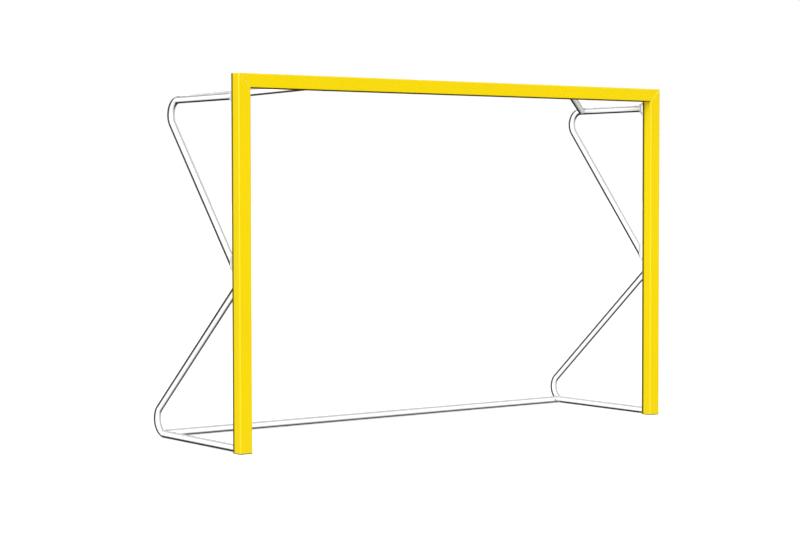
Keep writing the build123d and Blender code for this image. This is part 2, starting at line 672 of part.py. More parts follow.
with BuildPart() as crossbar_slot_nuts:
    for x in LUG_SCREWS:
        for side in (1, -1):
            slot_nut(bar_back(side * x))
write(crossbar_slot_nuts, "crossbar_slot_nuts")

# ---- Net hooks ----
with BuildPart() as post_net_hooks:
    for height in POST_HOOK_HEIGHTS:
        net_hook(post_back(height))
write_pair(post_net_hooks, "post_net_hooks")

with BuildPart() as crossbar_net_hooks:
    first = -CROSSBAR_HOOK_PITCH * (CROSSBAR_HOOK_COUNT - 1) / 2
    for index in range(CROSSBAR_HOOK_COUNT):
        net_hook(bar_back(first + index * CROSSBAR_HOOK_PITCH))
write(crossbar_net_hooks, "crossbar_net_hooks")
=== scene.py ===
"""Looks of a portable football goal frame: powder-coated profile and tubes, welds and fittings.

Metres, in the frame of the CAD model: +X along the crossbar, +Y to the back, +Z up. The left side
(negative X) is modelled and the right side mirrors it.
"""

import json
import math

import bmesh
import bpy
from mathutils import Matrix, Vector, noise


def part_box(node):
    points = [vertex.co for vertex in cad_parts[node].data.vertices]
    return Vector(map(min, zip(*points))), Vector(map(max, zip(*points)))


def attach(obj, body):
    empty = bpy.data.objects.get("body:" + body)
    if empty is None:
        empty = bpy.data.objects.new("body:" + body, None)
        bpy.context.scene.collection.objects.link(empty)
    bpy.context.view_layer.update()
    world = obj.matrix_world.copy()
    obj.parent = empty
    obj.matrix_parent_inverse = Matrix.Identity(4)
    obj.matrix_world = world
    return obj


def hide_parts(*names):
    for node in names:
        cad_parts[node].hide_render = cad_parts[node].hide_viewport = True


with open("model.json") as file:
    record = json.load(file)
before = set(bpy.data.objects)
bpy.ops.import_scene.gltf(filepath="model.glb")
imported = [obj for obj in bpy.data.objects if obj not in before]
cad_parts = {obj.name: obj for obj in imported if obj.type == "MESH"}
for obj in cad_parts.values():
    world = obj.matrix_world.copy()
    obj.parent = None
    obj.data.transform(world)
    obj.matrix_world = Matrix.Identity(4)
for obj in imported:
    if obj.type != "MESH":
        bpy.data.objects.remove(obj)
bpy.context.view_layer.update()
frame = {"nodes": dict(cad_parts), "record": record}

# ---- Places and sizes read from the frame ----
BAR_LOW, BAR_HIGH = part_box("crossbar")
POST_LOW, POST_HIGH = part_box("left_post")
HOOP_LOW, HOOP_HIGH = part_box("left_upper_hoop")
BASE_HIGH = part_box("left_lower_hoop")[1]
EYES_LOW, EYES_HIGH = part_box("left_hoop_eyes")
BRACE_EYE_LOW, BRACE_EYE_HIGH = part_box("left_brace_eye")
GROUND_LOW, GROUND_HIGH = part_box("ground_bar")
STUD_LOW, STUD_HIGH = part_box("left_catch_stud")

PROFILE = BAR_HIGH.y - BAR_LOW.y
HALF = PROFILE / 2
FRONT_Y = BAR_LOW.y
BACK_Y = BAR_HIGH.y
MIDDLE_Y = (FRONT_Y + BACK_Y) / 2
TOP_Z = BAR_HIGH.z
BAR_Z = TOP_Z - HALF
POST_X = (POST_LOW.x + POST_HIGH.x) / 2
TUBE = (HOOP_HIGH.x - HOOP_LOW.x) / 2
ARM_Z = HOOP_HIGH.z - TUBE
EYE = (EYES_HIGH.x - EYES_LOW.x) / 2
HINGE_Y = (EYES_LOW.y + EYES_HIGH.y) / 2
BRACE_PIVOT = (BRACE_EYE_LOW + BRACE_EYE_HIGH) / 2
EYE_LENGTH = BRACE_EYE_HIGH.z - BRACE_EYE_LOW.z
STUD_XY = (STUD_LOW + STUD_HIGH) / 2
CATCH_POINT = Vector((STUD_XY.x, STUD_XY.y, ARM_Z))
GROUND_CENTRE = (GROUND_LOW + GROUND_HIGH) / 2

# ---- Sizes that the frame's boxes don't give ----
PROFILE_CORNER = 0.008
CORNER_HOLD = 0.0004  # flat kept beside each rounded corner
SLOT_MOUTH = 0.0045  # half width
SLOT_POCKET = 0.009  # half width
SLOT_LIP = 0.004
SLOT_FLOOR = 0.012
SEAM_BEVEL = 0.0011
SEAM_GAP = 0.0001
TUBE_WALL = 0.0026
BEND = 0.085
UPPER_POST_Z = 0.977
MID_EYE_LENGTH = 0.08
EYE_BORE = 0.01
BRACE_TIP_GAP = 0.002
WELD = 0.0026
EDGE_ROUND = 0.0008
ROUNDED_ANGLE = math.radians(40)
MERGE_REACH = 1e-5
SEAM_WIDTH = 0.0035
SEAM_FADE = (0.004, 0.002)  # below the crossbar: where the painted seam highlight is gone, and where it starts to fade
BACK_STRIP = (0.024, 0.016)  # where the painted dark strip (painted shade) starts and is full, from the profile's back
SHADE_TOWARDS = (-0.52, 0.40, -0.75)  # painted shade falls to the left and below, as the camera sees it
RIM_ON_LIGHT_SIDE = 0.5
RIM_START = 0.06  # how far a tube's surface has turned away where its painted dark outline (painted shade) starts
RIM_FULL = 0.20  # and where the painted dark outline is at its darkest
EYE_OUTLINE = 0.65  # length of the direction stored on an eye, for a fainter painted dark outline
SHARP_ANGLE = math.radians(28)

TUBE_SIDES = 56
BEND_STEPS = 28
CORNER_STEPS = 10
WELD_POINTS = 220
BEAD_SIDES = 10

# ---- Light, floor and camera ----
SKY_STRENGTH = 0.55
FLOOR_REACH = 150.0
FLOOR_Z = -0.0003
FLOOR_GLOW = 0.3
KEY_TOWARDS = (-0.60, -0.79, 0.06)
KEY_STRENGTH = 1.88
KEY_SPREAD = 20  # degrees, as for the other lamps
SIDE_TOWARDS = (-0.80, -0.30, 0.32)
SIDE_STRENGTH = 2.0
SIDE_SPREAD = 35
FILL_TOWARDS = (0.92, -0.38, 0.05)
FILL_STRENGTH = 1.9
FILL_SPREAD = 30
BACK_TOWARDS = (0.5, 0.7, 0.5)
BACK_STRENGTH = 0.9
BACK_SPREAD = 40
CAMERA_PLACE = (-7.236, -9.552, 1.454)
CAMERA_YAW = 0.64034
CAMERA_PITCH = 0.04059  # downwards
CAMERA_ROLL = -0.00165
CAMERA_LENS = 88.13
CAMERA_REACH = 500
SENSOR_WIDTH = 36


# ---- Mesh building ----
class Shape:
    """Points and faces of one piece, as modelled on the left."""

    def __init__(self):
        self.points = []
        self.faces = []
        self.along = []  # for a tube, its direction at each point

    def loft(self, rings, closed=False):
        """Joins equal rings of points in turn, with flat caps or as a closed loop."""
        first = len(self.points)
        count = len(rings[0])
        for ring in rings:
            self.points.extend(ring)
        spans = len(rings) if closed else len(rings) - 1
        for span in range(spans):
            here = first + span * count
            there = first + (span + 1) % len(rings) * count
            for index in range(count):
                after = (index + 1) % count
                self.faces.append((here + index, here + after, there + after, there + index))
        if not closed:
            self.faces.append(tuple(range(first, first + count))[::-1])
            self.faces.append(tuple(range(first + spans * count, first + (spans + 1) * count)))
        return self

    def tube(self, path, outer, inner):
        """Hollow tube from its path and the outer and inner rings along it."""
        directions = [direction for _, direction in path]
        for direction in directions + directions[::-1]:
            self.along += [direction] * len(outer[0])
        return self.loft(list(outer) + list(reversed(inner)), closed=True)


def make(name, shape, flip, look, body, nodes):
    """Makes a Blender object from a shape, smooth except at its sharp edges; flip -1 mirrors it."""
    material, slot = look
    mesh = bpy.data.meshes.new(name)
    mesh.from_pydata([(flip * x, y, z) for x, y, z in shape.points], [], shape.faces)
    if shape.along:
        along = mesh.attributes.new("along", "FLOAT_VECTOR", "POINT")
        along.data.foreach_set("vector", [n for x, y, z in shape.along for n in (flip * x, y, z)])
    work = bmesh.new()
    work.from_mesh(mesh)
    bmesh.ops.recalc_face_normals(work, faces=work.faces)
    for face in work.faces:
        face.smooth = True
    work.to_mesh(mesh)
    work.free()
    mesh.set_sharp_from_angle(angle=SHARP_ANGLE)
    piece = bpy.data.objects.new(name, mesh)
    bpy.context.scene.collection.objects.link(piece)
    mesh.materials.append(material)
    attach(piece, body)
    if nodes:
        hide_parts(*nodes)


def pair(shape, name, look, body="goal_body", nodes=()):
    """Makes a left piece from a shape, and its mirror image on the right."""
    for side, flip in (("left", 1), ("right", -1)):
        side_body = body if body == "goal_body" else f"{side}_{body}"
        make(f"{side}_{name}", shape, flip, look, side_body, [f"{side}_{node}" for node in nodes])


# ---- Materials ----
class Look:
    """Node material under construction, with short calls for its nodes."""

    def __init__(self, name, metallic=0.0):
        self.material = bpy.data.materials.new(name)
        self.material.use_nodes = True
        self.tree = self.material.node_tree
        self.tree.nodes.clear()
        self.output = self.tree.nodes.new("ShaderNodeOutputMaterial")
        self.surface = self.tree.nodes.new("ShaderNodeBsdfPrincipled")
        self.surface.inputs["Metallic"].default_value = metallic
        self.tree.links.new(self.surface.outputs[0], self.output.inputs["Surface"])
        self.place = self.tree.nodes.new("ShaderNodeTexCoord").outputs["Object"]

    def put(self, socket, value):
        """Gives a socket a number, a colour or a link."""
        if isinstance(value, bpy.types.NodeSocket):
            self.tree.links.new(value, socket)
        elif isinstance(value, tuple) and len(value) == 3 and socket.type == "RGBA":
            socket.default_value = (*value, 1.0)
        else:
            socket.default_value = value

    def noise(self, scale, detail=3.0, roughness=0.55, stretch=None):
        """Noise value between 0 and 1 at a scale in features per metre."""
        place = self.place
        if stretch:
            mapping = self.tree.nodes.new("ShaderNodeMapping")
            mapping.inputs["Scale"].default_value = stretch
            self.put(mapping.inputs["Vector"], place)
            place = mapping.outputs[0]
        node = self.tree.nodes.new("ShaderNodeTexNoise")
        self.put(node.inputs["Vector"], place)
        node.inputs["Scale"].default_value = scale
        node.inputs["Detail"].default_value = detail
        node.inputs["Roughness"].default_value = roughness
        return node.outputs[0]

    def cells(self, scale):
        """Random value for each cell of a Voronoi pattern."""
        node = self.tree.nodes.new("ShaderNodeTexVoronoi")
        self.put(node.inputs["Vector"], self.place)
        node.inputs["Scale"].default_value = scale
        parts = self.tree.nodes.new("ShaderNodeSeparateColor")
        self.put(parts.inputs[0], node.outputs["Color"])
        return parts.outputs[0]

    def spread(self, value, low, high, to_low=0.0, to_high=1.0):
        """Maps value from low..high to to_low..to_high, clamped and smooth."""
        node = self.tree.nodes.new("ShaderNodeMapRange")
        node.interpolation_type = "SMOOTHSTEP"
        for index, number in enumerate((value, low, high, to_low, to_high)):
            self.put(node.inputs[index], number)
        return node.outputs[0]

    def sums(self, operation, a, b):
        """Arithmetic on two values."""
        node = self.tree.nodes.new("ShaderNodeMath")
        node.operation = operation
        self.put(node.inputs[0], a)
        self.put(node.inputs[1], b)
        return node.outputs[0]

    def mix(self, share, a, b):
        """Colour a turning into colour b as share goes from 0 to 1."""
        node = self.tree.nodes.new("ShaderNodeMix")
        node.data_type = "RGBA"
        self.put(node.inputs["Factor"], share)
        self.put(node.inputs[6], a)
        self.put(node.inputs[7], b)
        return node.outputs[2]

    def edges(self, reach):
        """About 1 on an edge or a tight corner of the mesh and 0 on its flat faces."""
        rounded = self.tree.nodes.new("ShaderNodeBevel")
        rounded.samples = 4
        rounded.inputs["Radius"].default_value = reach
        geometry = self.tree.nodes.new("ShaderNodeNewGeometry")
        turn = self.vector("DOT_PRODUCT", rounded.outputs[0], geometry.outputs["Normal"])
        return self.spread(turn, 0.999, 0.93)

    def height(self):
        """Height above the ground at rest, in metres."""
        node = self.tree.nodes.new("ShaderNodeSeparateXYZ")
        self.put(node.inputs[0], self.place)
        return node.outputs[2]

    def vector(self, operation, a, b):
        """Value of an operation on two vectors."""
        node = self.tree.nodes.new("ShaderNodeVectorMath")
        node.operation = operation
        self.put(node.inputs[0], a)
        self.put(node.inputs[1], b)
        return node.outputs["Value"]

    def facing(self):
        """1 where a surface faces the viewer and 0 at its outline."""
        geometry = self.tree.nodes.new("ShaderNodeNewGeometry")
        return self.vector("DOT_PRODUCT", geometry.outputs["Incoming"], geometry.outputs["Normal"])

    def turned_away(self):
        """0 on the line of a surface that faces the viewer most squarely, and 1 at its outline."""
        geometry = self.tree.nodes.new("ShaderNodeNewGeometry")
        stored = self.tree.nodes.new("ShaderNodeAttribute")
        stored.attribute_name = "along"
        along = self.tree.nodes.new("ShaderNodeVectorTransform")
        along.vector_type = "VECTOR"
        along.convert_from = "OBJECT"
        along.convert_to = "WORLD"
        self.put(along.inputs[0], stored.outputs["Vector"])
        view = geometry.outputs["Incoming"]
        lengthwise = self.vector("DOT_PRODUCT", view, along.outputs[0])
        square = self.sums("MULTIPLY", lengthwise, lengthwise)
        squarest = self.sums("SQRT", self.sums("SUBTRACT", 1.0, square), 0.0)
        return self.sums("SUBTRACT", 1.0, self.sums("DIVIDE", self.facing(), squarest))

    def on_tube(self):
        """1 on a tube, whose mesh holds its direction, and 0 elsewhere."""
        stored = self.tree.nodes.new("ShaderNodeAttribute")
        stored.attribute_name = "along"
        return self.vector("DOT_PRODUCT", stored.outputs["Vector"], stored.outputs["Vector"])

    def painted_tube_rim_shade(self, start, end):
        """Painted shade: 1 along the outline of a tube and 0 where it faces the viewer, less on its
        upper right.
        """
        geometry = self.tree.nodes.new("ShaderNodeNewGeometry")
        lean = self.vector("DOT_PRODUCT", geometry.outputs["Normal"], SHADE_TOWARDS)
        side = self.spread(lean, -0.35, 0.45, RIM_ON_LIGHT_SIDE, 1.0)
        mask = self.sums("MULTIPLY", self.spread(self.turned_away(), start, end), side)
        return self.sums("MULTIPLY", mask, self.on_tube())

    def shaded_edge(self):
        """Painted shade: 1 on the profile's underside and along its back edges, where they are seen
        from the front.
        """
        place = self.tree.nodes.new("ShaderNodeSeparateXYZ")
        self.put(place.inputs[0], self.place)
        strip = self.spread(place.outputs[1], BACK_Y - BACK_STRIP[0], BACK_Y - BACK_STRIP[1])
        geometry = self.tree.nodes.new("ShaderNodeNewGeometry")
        under = self.vector("DOT_PRODUCT", geometry.outputs["Normal"], (0.0, 0.0, -1.0))
        shaded = self.sums("MAXIMUM", strip, self.spread(under, 0.35, 0.6))
        frontal = self.vector("DOT_PRODUCT", geometry.outputs["Incoming"], (0.0, -1.0, 0.0))
        return self.sums("MULTIPLY", shaded, self.spread(frontal, 0.2, 0.5))

    def mitre(self):
        """Painted highlight: 1 along the seams between the crossbar and the posts."""
        place = self.tree.nodes.new("ShaderNodeSeparateXYZ")
        self.put(place.inputs[0], self.place)
        across = self.sums("ADD", self.sums("ABSOLUTE", place.outputs[0], 0.0), POST_X)
        rise = self.sums("SUBTRACT", place.outputs[2], BAR_Z)
        distance = self.sums("ABSOLUTE", self.sums("SUBTRACT", across, rise), 0.0)
        near = self.spread(rise, -HALF - SEAM_FADE[0], -HALF - SEAM_FADE[1])
        return self.sums("MULTIPLY", self.spread(distance, SEAM_WIDTH, SEAM_WIDTH / 2), near)

    def bump(self, value, strength, distance, under=None):
        """Bump from a value, over an earlier bump if there is one."""
        node = self.tree.nodes.new("ShaderNodeBump")
        node.inputs["Strength"].default_value = strength
        node.inputs["Distance"].default_value = distance
        self.put(node.inputs["Height"], value)
        if under:
            self.put(node.inputs["Normal"], under)
        return node.outputs[0]

    def finish(self, colour, roughness, normal):
        """Sets the surface's inputs and returns the material."""
        self.put(self.surface.inputs["Base Color"], colour)
        self.put(self.surface.inputs["Roughness"], roughness)
        self.put(self.surface.inputs["Normal"], normal)
        return self.material


def powder_coat(name, colour, shade, worn_and_highlight, soil, outline, gloss_level, seam=None):
    """Sprayed and baked paint: orange peel, faint patches, polished scuffs, soil near the ground; paler
    edges that are partly wear and partly painted highlight, a painted highlight along the mitre seams,
    and painted shade along outlines.
    """
    look = Look(name)
    patches = look.spread(look.noise(1.7, 2.0), 0.35, 0.65)
    tone = look.mix(look.sums("MULTIPLY", patches, 0.6), colour, shade)
    # paler edges: partly wear, partly a painted highlight on the profile's rounded corners
    edge_wear_and_highlight = look.sums("MULTIPLY", look.edges(0.003), look.spread(look.noise(60.0, 5.0), 0.4, 0.7))
    edge_wear_and_highlight = look.sums("MULTIPLY", edge_wear_and_highlight, look.sums("SUBTRACT", 0.75, look.on_tube()))
    tone = look.mix(edge_wear_and_highlight, tone, worn_and_highlight)
    scuffs = look.spread(look.noise(26.0, 7.0, 0.7, (1.0, 1.0, 0.25)), 0.62, 0.72)
    tone = look.mix(look.sums("MULTIPLY", scuffs, 0.10), tone, worn_and_highlight)
    low = look.spread(look.height(), 0.0, 0.16, 1.0, 0.0)
    splashes = look.sums("MULTIPLY", low, look.spread(look.noise(48.0, 6.0, 0.65), 0.42, 0.72))
    tone = look.mix(look.sums("MULTIPLY", splashes, 0.16), tone, soil)
    # painted highlight: paler line along the mitre seams
    if seam:
        tone = look.mix(look.mitre(), tone, seam)
    # painted shade: dark colour on the tube rims, or on the profile's underside and back edges
    turned = look.shaded_edge() if seam else look.painted_tube_rim_shade(RIM_START, RIM_FULL)
    tone = look.mix(turned, tone, outline)
    gloss = look.spread(look.noise(9.0, 4.0), 0.3, 0.7, 0.30, 0.40)
    gloss = look.sums("ADD", gloss, look.sums("MULTIPLY", scuffs, 0.12))
    gloss = look.sums("ADD", gloss, look.sums("MULTIPLY", splashes, 0.3))
    peel = look.bump(look.noise(620.0, 2.0), 0.16, 0.0004)
    sag = look.bump(look.noise(34.0, 2.0), 0.05, 0.002, peel)
    shine = look.sums("MULTIPLY", look.sums("SUBTRACT", 1.0, turned), gloss_level)
    shine = look.sums("MULTIPLY", shine, look.spread(look.facing(), 0.05, 0.3))
    look.put(look.surface.inputs["Specular IOR Level"], shine)
    return look.finish(tone, gloss, sag)


def zinc(name):
    """Bright zinc plating with a faint spangle, handled dull in places."""
    look = Look(name, metallic=1.0)
    tone = look.mix(look.cells(420.0), (0.50, 0.52, 0.55), (0.74, 0.75, 0.76))
    dull = look.spread(look.noise(140.0, 5.0), 0.45, 0.7)
    tone = look.mix(look.sums("MULTIPLY", dull, 0.5), tone, (0.42, 0.42, 0.41))
    rough = look.spread(dull, 0.0, 1.0, 0.28, 0.55)
    return look.finish(tone, rough, look.bump(look.noise(900.0, 3.0), 0.2, 0.0002))


def cast_aluminium(name):
    """Cast aluminium with a grainy skin."""
    look = Look(name, metallic=1.0)
    tone = look.mix(look.noise(90.0, 5.0), (0.55, 0.56, 0.57), (0.70, 0.70, 0.71))
    rough = look.spread(look.noise(300.0, 3.0), 0.3, 0.7, 0.45, 0.65)
    return look.finish(tone, rough, look.bump(look.noise(750.0, 4.0), 0.5, 0.0004))


def moulded_plastic(name, colour, shade, dust):
    """Moulded plastic with a fine grain, paler where it is rubbed or dusty."""
    look = Look(name)
    tone = look.mix(look.noise(40.0, 4.0), colour, shade)
    dusty = look.sums("MULTIPLY", look.spread(look.noise(70.0, 6.0), 0.45, 0.75), 0.35)
    tone = look.mix(dusty, tone, dust)
    tone = look.mix(look.sums("MULTIPLY", look.edges(0.0015), 0.4), tone, dust)
    rough = look.spread(look.noise(200.0, 3.0), 0.3, 0.7, 0.42, 0.6)
    return look.finish(tone, rough, look.bump(look.noise(1500.0, 2.0), 0.35, 0.0002))


YELLOW = (
    powder_coat(
        "yellow_powder_coat",
        colour=(0.77, 0.573, 0.0006),
        shade=(0.74, 0.55, 0.0006),
        # paler yellow for wear and scuffs, and for the painted highlight along the edges
        worn_and_highlight=(0.95, 0.80, 0.07),
        soil=(0.42, 0.33, 0.12),
        # colour of the painted shade on the profile's underside and back edges
        outline=(0.10, 0.08, 0.004),
        gloss_level=0.18,
        # paler yellow painted along the mitre seams as a highlight
        seam=(0.86, 0.74, 0.12),
    ),
    "yellow_paint",
)
WHITE = (
    powder_coat(
        "white_powder_coat",
        colour=(0.92, 0.92, 0.91),
        shade=(0.88, 0.885, 0.89),
        worn_and_highlight=(0.80, 0.80, 0.79),
        soil=(0.55, 0.52, 0.45),
        # colour of the painted shade along the tube rims
        outline=(0.05, 0.05, 0.053),
        gloss_level=0.4,
    ),
    "white_paint",
)
ZINC = (zinc("zinc_plate"), "zinc_steel")
CAST = (cast_aluminium("cast_aluminium"), "cast_aluminium")
DARK = (
    moulded_plastic(
        "dark_plastic",
        colour=(0.02, 0.02, 0.022),
        shade=(0.035, 0.035, 0.037),
        dust=(0.12, 0.11, 0.10),
    ),
    "dark_plastic",
)
BUSH = (
    moulded_plastic(
        "bush_plastic",
        colour=(0.05, 0.05, 0.055),
        shade=(0.07, 0.07, 0.075),
        dust=(0.16, 0.16, 0.16),
    ),
    "bush_plastic",
)
HOOK = (
    moulded_plastic(
        "hook_plastic",
        colour=(0.80, 0.80, 0.78),
        shade=(0.86, 0.86, 0.84),
        dust=(0.70, 0.69, 0.65),
    ),
    "hook_plastic",
)


# ---- Yellow profile ----
def profile_contour(inset):
    """Outline (u, v) of the profile, v towards the back, with its slot; inset shrinks its outside."""
    half = HALF - inset
    radius = PROFILE_CORNER - inset
    contour = []
    for corner in range(4):
        turn = corner * math.pi / 2
        middle = Vector((half - radius, half - radius))
        arc = [(radius, -CORNER_HOLD)]
        arc += [
            (radius * math.cos(angle), radius * math.sin(angle))
            for angle in (step * math.pi / 2 / CORNER_STEPS for step in range(CORNER_STEPS + 1))
        ]
        arc.append((-CORNER_HOLD, radius))
        for u, v in arc:
            point = Vector((middle.x + u, middle.y + v))
            contour.append(
                (
                    point.x * math.cos(turn) - point.y * math.sin(turn),
                    point.x * math.sin(turn) + point.y * math.cos(turn),
                )
            )
        if corner == 0:
            floor = half - SLOT_FLOOR
            lip = half - SLOT_LIP
            path = [(SLOT_MOUTH, half), (SLOT_MOUTH, lip), (SLOT_POCKET, lip), (SLOT_POCKET, floor)]
            contour += path + [(-u, v) for u, v in reversed(path)]
    return contour


def profile_rings(end, place):
    """Rings of a mitred end: the full outline, then the bevel in to the seam."""
    full = [place(u, v, end(u) - SEAM_BEVEL) for u, v in profile_contour(0.0)]
    seam = [place(u, v, end(u)) for u, v in profile_contour(SEAM_BEVEL * 0.7)]
    return [full, seam]


def build_posts():
    """Square posts, mitred at the top and cut square at the foot."""

    def place(u, v, z):
        return Vector((POST_X - u, MIDDLE_Y + v, z))

    foot = [place(u, v, POST_LOW.z) for u, v in profile_contour(0.0)]
    rings = [foot] + profile_rings(lambda u: BAR_Z + u - SEAM_GAP, place)
    pair(Shape().loft(rings), "post", YELLOW, nodes=["post"])


def build_crossbar():
    """Square crossbar, mitred at both ends."""

    def place(u, v, x):
        return Vector((x, MIDDLE_Y + v, BAR_Z + u))

    def mirrored(u, v, x):
        return place(u, v, -x)

    reach = -POST_X - SEAM_GAP
    left = profile_rings(lambda u: reach + u, mirrored)
    right = profile_rings(lambda u: reach + u, place)
    make("crossbar", Shape().loft(left[::-1] + right), 1, YELLOW, "goal_body", ["crossbar"])


# ---- White tubes ----
def ring(centre, across, up, radius, sides=TUBE_SIDES):
    """Circle of points round a tube's centreline."""
    angles = [2 * math.pi * index / sides for index in range(sides)]
    return [centre + radius * (math.cos(a) * across + math.sin(a) * up) for a in angles]


def cut_flat(normal, offset):
    """Cut that slides a point along the tube to the plane where normal . point = offset."""
    return lambda point, along: point + along * ((offset - normal.dot(point)) / normal.dot(along))


def cut_round(centre, radius):
    """Cut that slides a point along the tube to the outside of an upright cylinder."""

    def cut(point, along):
        x, y = point.x - centre.x, point.y - centre.y
        a = along.x**2 + along.y**2
        b = x * along.x + y * along.y
        c = x**2 + y**2 - radius**2
        return point + along * ((-b + math.sqrt(max(0.0, b * b - a * c))) / a)

    return cut


def centreline(points, bend):
    """Points and directions along a polyline whose middle corner is rounded."""
    if len(points) == 2:
        along = (points[1] - points[0]).normalized()
        return [(points[0], along), (points[1], along)]
    start, corner, end = points
    into = (corner - start).normalized()
    out = (end - corner).normalized()
    turn = into.angle(out)
    tangent = bend * math.tan(turn / 2)
    side = (out - into * out.dot(into)).normalized()
    centre = corner - into * tangent + side * bend
    path = [(start, into)]
    for step in range(BEND_STEPS + 1):
        angle = turn * step / BEND_STEPS
        point = centre + bend * (math.sin(angle) * into - math.cos(angle) * side)
        path.append((point, math.cos(angle) * into + math.sin(angle) * side))
    path.append((end, out))
    return path


def tube_rings(path, across, radius, cuts, sides=TUBE_SIDES):
    """Rings of a tube along a flat path, with its two ends cut to shape."""
    rings = [ring(p, across, along.cross(across).normalized(), radius, sides) for p, along in path]
    start_cut, end_cut = cuts
    start_along = path[0][1]
    end_along = path[-1][1]
    rings[0] = [start_cut(point, start_along) for point in rings[0]]
    rings[-1] = [end_cut(point, -end_along) for point in rings[-1]]
    return rings


def weld_bead(curve, centre, direction):
    """Rippled closed bead of weld along a curve round a tube that runs in a direction."""
    count = len(curve)
    rings = []
    for index, point in enumerate(curve):
        along = (curve[(index + 1) % count] - curve[index - 1]).normalized()
        outward = point - centre
        outward = (outward - along * outward.dot(along)).normalized()
        side = along.cross(outward)
        ripple = 1 + 0.13 * math.sin(index * 2 * math.pi / 5) + 0.22 * noise.noise(point * 160)
        beads = ring(point, outward, side, WELD * ripple, BEAD_SIDES)
        rings.append([Vector((bead.x, bead.y, max(bead.z, 0.0))) for bead in beads])
    bead = Shape().loft(rings, closed=True)
    bead.along = [direction] * len(bead.points)
    return bead


def build_tube(name, points, across, cuts, body="goal_body", welds=(0, 1)):
    """Hollow bent tube on both sides, with a bead of weld at its welded ends."""
    path = centreline(points, BEND)
    outer = tube_rings(path, across, TUBE, cuts)
    inner = tube_rings(path, across, TUBE - TUBE_WALL, cuts)
    pair(Shape().tube(path, outer, inner), name, WHITE, body, [name])
    fine = tube_rings(path, across, TUBE, cuts, WELD_POINTS)
    for end in welds:
        curve = fine[-1] if end else fine[0]
        direction = path[-1][1] if end else path[0][1]
        middle = sum(curve, Vector()) / len(curve)
        pair(weld_bead(curve, middle, direction), f"{name}_weld_{end + 1}", WHITE, body)


def diagonal_corner(foot, arm_z, back_y, turn):
    """Where a hoop's arm and its diagonal cross; the diagonal runs from foot and touches the bend."""
    centre_y = back_y - TUBE - BEND
    centre_z = arm_z + turn * BEND
    distance = math.hypot(centre_y - foot.y, centre_z - foot.z)
    angle = math.atan2(centre_z - foot.z, centre_y - foot.y) + turn * math.asin(BEND / distance)
    return Vector((POST_X, foot.y + (arm_z - foot.z) / math.tan(angle), arm_z))


def build_upper_hoops():
    """Hoops that fold, coped round their two hinge eyes."""
    foot = Vector((POST_X, BACK_Y, UPPER_POST_Z))
    corner = diagonal_corner(foot, ARM_Z, HOOP_HIGH.y, -1)
    start = Vector((POST_X, HINGE_Y, ARM_Z))
    end = foot + (corner - foot) * ((HINGE_Y - foot.y) / (corner.y - foot.y))
    cope = cut_round(start, EYE)
    build_tube("upper_hoop", [start, corner, end], Vector((1, 0, 0)), (cope, cope), "hoop_body")


def build_lower_hoops():
    """Hoops of the ground frame, cut flat against their flanges."""
    flange_low, flange_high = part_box("left_mid_flange")
    start = Vector((POST_X, flange_high.y, (flange_low.z + flange_high.z) / 2))
    corner = diagonal_corner(start, TUBE, BASE_HIGH.y, 1)
    end = Vector((POST_X, flange_high.y, TUBE))
    flat = cut_flat(Vector((0, 1, 0)), flange_high.y)
    build_tube("lower_hoop", [start, corner, end], Vector((1, 0, 0)), (flat, flat))


def build_braces():
    """Braces from the crossbar's lugs to the upper arms, with their tips cut along the arms."""
    across = (CATCH_POINT - BRACE_PIVOT).cross(Vector((0, 0, 1))).normalized()
    tip = cut_flat(Vector((1, 0, 0)), POST_X + TUBE + BRACE_TIP_GAP)
    cuts = (cut_round(BRACE_PIVOT, EYE), tip)
    build_tube("brace", [BRACE_PIVOT, CATCH_POINT], across, cuts, "brace_body", welds=(0,))


def build_ground_bar():
    """Hollow bar along the ground, square at both ends."""
    ends = [Vector((x, GROUND_CENTRE.y, GROUND_CENTRE.z)) for x in (GROUND_LOW.x, GROUND_HIGH.x)]
    path = centreline(ends, BEND)
    square = [cut_flat(Vector((1, 0, 0)), end.x) for end in ends]
    outer = tube_rings(path, Vector((0, 1, 0)), TUBE, square)
    inner = tube_rings(path, Vector((0, 1, 0)), TUBE - TUBE_WALL, square)
    make("ground_bar", Shape().tube(path, outer, inner), 1, WHITE, "goal_body", ["ground_bar"])


def build_spigot_welds():
    """Beads where the ground bar's spigots meet the lower hoops."""
    low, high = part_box("left_bar_spigot")
    radius = (high.y - low.y) / 2
    curve = []
    for index in range(WELD_POINTS):
        angle = 2 * math.pi * index / WELD_POINTS
        across = radius * math.cos(angle)
        rise = radius * math.sin(angle)
        reach = math.sqrt(TUBE**2 - rise**2)
        curve.append(Vector((POST_X + reach, GROUND_CENTRE.y + across, GROUND_CENTRE.z + rise)))
    middle = sum(curve, Vector()) / len(curve)
    pair(weld_bead(curve, middle, Vector((1, 0, 0))), "bar_spigot_weld", WHITE)


def add_eye(shape, low, length):
    """Adds an upright eye with rounded outer edges to a shape, from the middle of its lower end.

    It stores a shortened direction, which makes its painted dark outline fainter than that of a tube.
    """
    up = Vector((0, 0, 1))
    across = Vector((1, 0, 0))
    back = Vector((0, 1, 0))
    steps = ((0.0, EDGE_ROUND), (EDGE_ROUND, 0.0), (length - EDGE_ROUND, 0.0), (length, EDGE_ROUND))
    path = [(low + rise * up, EYE_OUTLINE * up) for rise, _ in steps]
    outer = [ring(low + rise * up, across, back, EYE - cut) for rise, cut in steps]
    inner = [ring(point, across, back, EYE_BORE) for point, _ in path]
    shape.tube(path, outer, inner)


